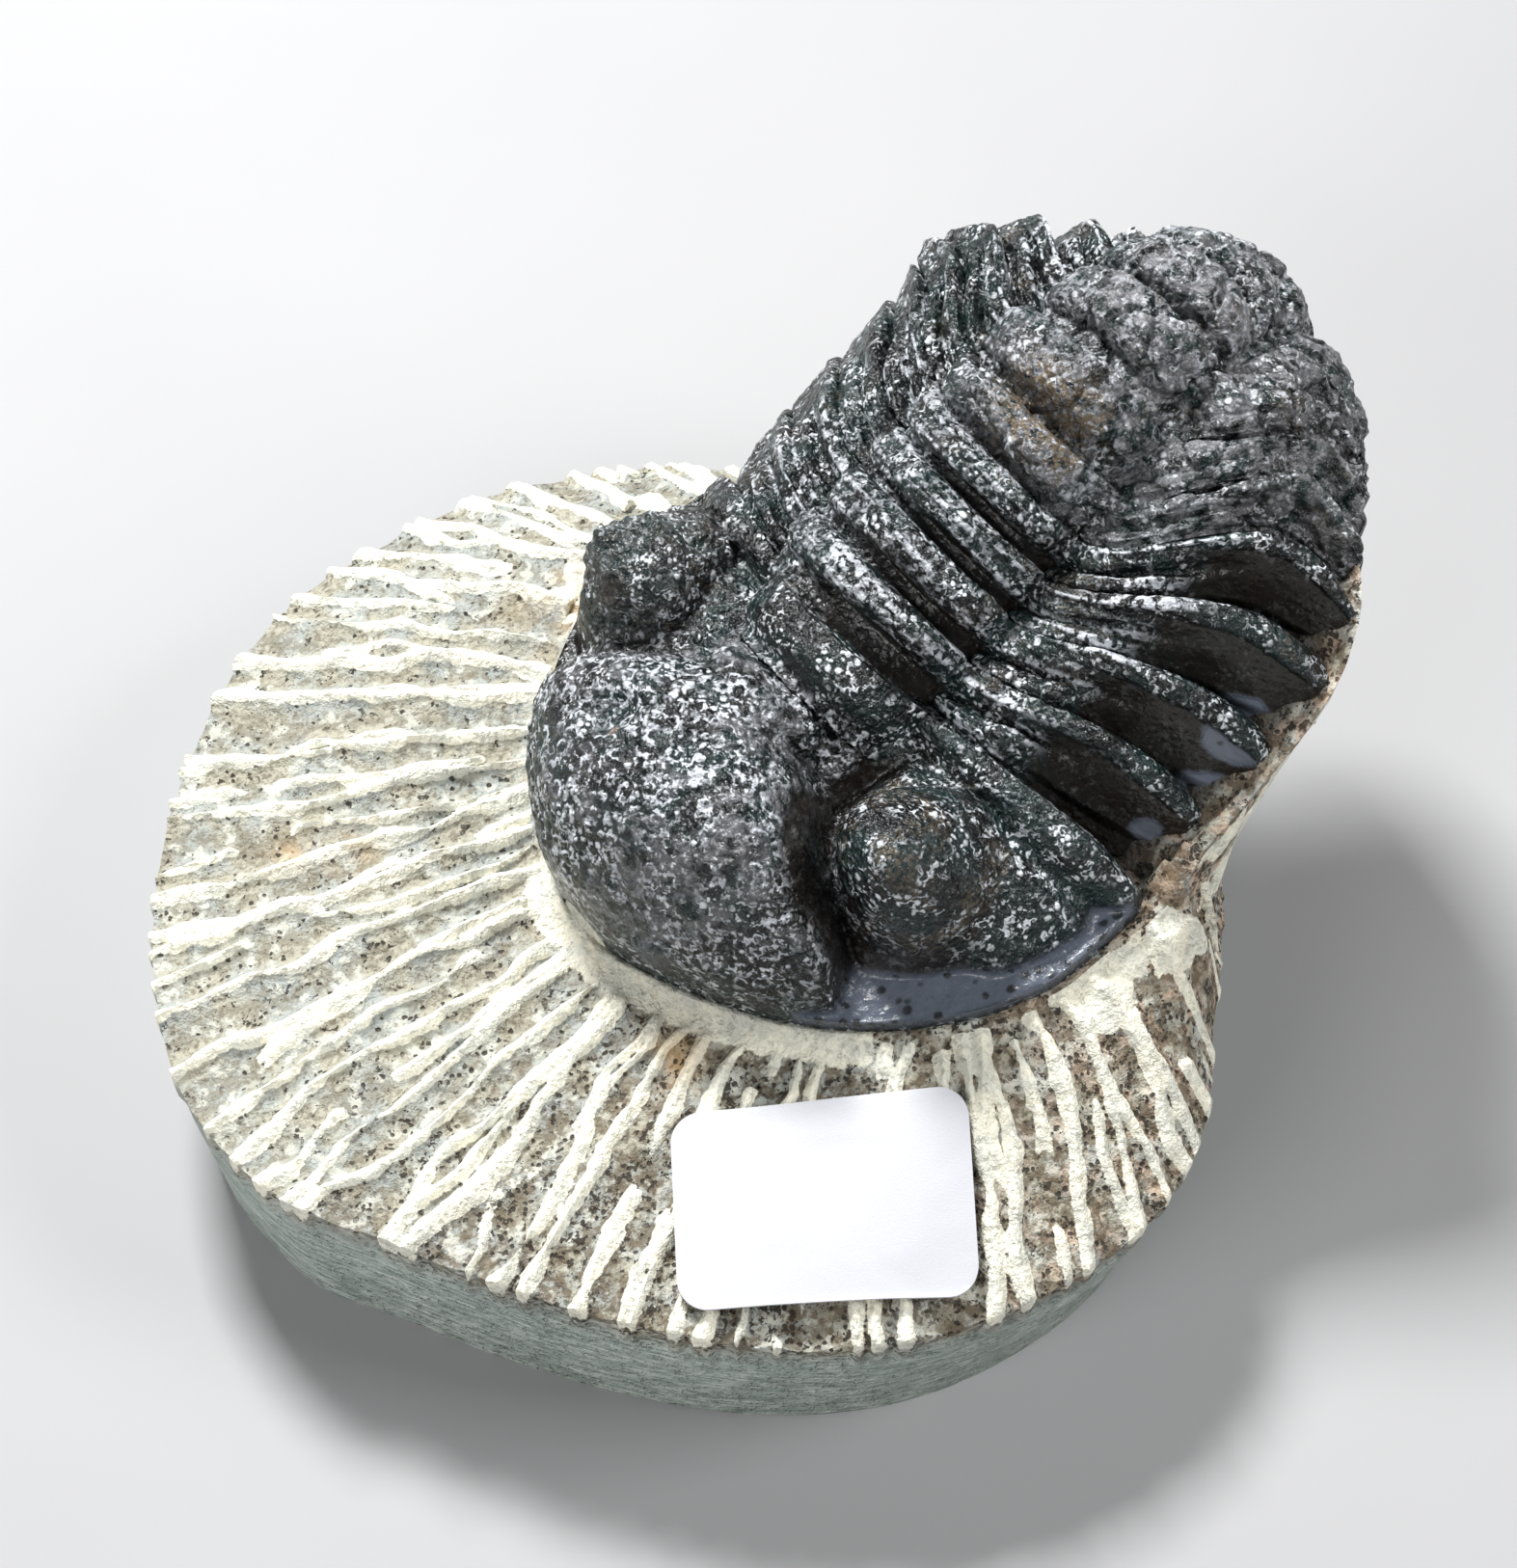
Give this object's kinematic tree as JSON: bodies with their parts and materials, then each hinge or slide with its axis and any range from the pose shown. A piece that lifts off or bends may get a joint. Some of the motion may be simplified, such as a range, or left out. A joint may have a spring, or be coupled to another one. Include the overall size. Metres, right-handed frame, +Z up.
{
  "type": "trilobite in matrix",
  "caption": "Trilobite fossil lying on a round block of chiselled limestone, its body arched over raised rock, for display on a table.",
  "frame": {"origin": "middle of the footprint, on the surface that the block rests on", "axes": "+Z up, +Y away from the side with the paper label, +X to the right of a person who looks at that side"},
  "size_m": [0.0882, 0.0786, 0.052],
  "materials": {
    "limestone": "matte",
    "fossil_shell": "satin",
    "label_paper": "matte"
  },
  "bodies": {
    "root": {"matrix": "limestone", "cephalon": "fossil_shell", "thoracic_segment_01": "fossil_shell", "thoracic_segment_02": "fossil_shell", "thoracic_segment_03": "fossil_shell", "thoracic_segment_04": "fossil_shell", "thoracic_segment_05": "fossil_shell", "thoracic_segment_06": "fossil_shell", "thoracic_segment_07": "fossil_shell", "thoracic_segment_08": "fossil_shell", "thoracic_segment_09": "fossil_shell", "thoracic_segment_10": "fossil_shell", "thoracic_segment_11": "fossil_shell", "pygidium": "fossil_shell", "label": "label_paper"}
  },
  "joints": []
}
